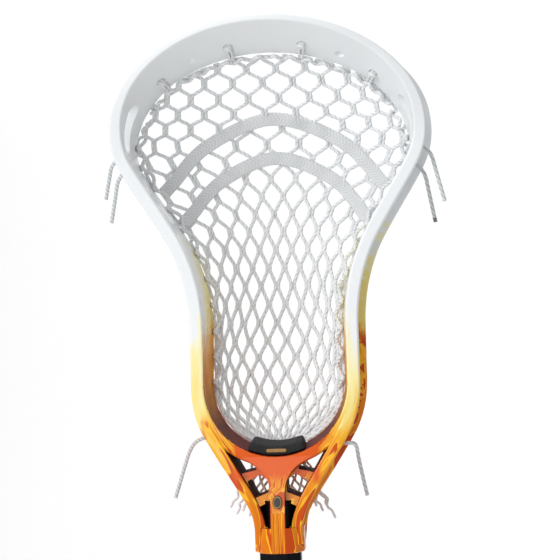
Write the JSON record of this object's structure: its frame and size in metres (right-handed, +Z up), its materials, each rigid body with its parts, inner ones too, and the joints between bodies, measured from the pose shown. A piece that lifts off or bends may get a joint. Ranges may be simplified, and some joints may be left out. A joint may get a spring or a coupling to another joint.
{
  "type": "lacrosse stick",
  "caption": "Lacrosse stick: moulded head with a strung mesh pocket, truss throat and foam ball stop on an octagonal alloy shaft with a rubber end cap.",
  "frame": {"origin": "centre of the end cap's flat underside, on the shaft's axis", "axes": "+Z up the shaft to the scoop's tip; -Y out of the head's open face; +X to the right as the open face is looked at"},
  "size_m": [0.2122, 0.0919, 1.054],
  "materials": {
    "nylon": "injection-moulded nylon, white above, dip-dyed in flame colours below",
    "foam": "closed-cell foam pad, satin black",
    "inlay": "plain printed orange pill",
    "badge": "plain dark plug with a pale rim",
    "alloy": "drawn alloy tube, black anodised, satin",
    "cap_rubber": "moulded black rubber",
    "screw_steel": "blackened steel screw",
    "mesh_knit": "knitted polyester cord mesh, white",
    "lace_weave": "flat woven lace, off-white",
    "nylon_cord": "braided nylon cord, white, ends melted"
  },
  "bodies": {
    "root": {"head_frame": "nylon", "ball_stop": "foam", "ball_stop_inlay": "inlay", "throat_badge": "badge", "shaft": "alloy", "end_cap": "cap_rubber", "head_screw": "screw_steel", "mesh_pocket": "mesh_knit", "mesh_tail": "mesh_knit", "shooting_lace_upper": "lace_weave", "shooting_lace_lower": "lace_weave", "sidewall_string_left": "nylon_cord", "sidewall_string_right": "nylon_cord", "top_string": "nylon_cord", "scoop_ties": "nylon_cord", "bottom_string": "nylon_cord", "string_tail_upper_left_a": "nylon_cord", "string_tail_upper_left_b": "nylon_cord", "string_tail_upper_right_a": "nylon_cord", "string_tail_upper_right_b": "nylon_cord", "string_tail_lower_left": "nylon_cord", "string_tail_lower_right": "nylon_cord"}
  },
  "joints": []
}
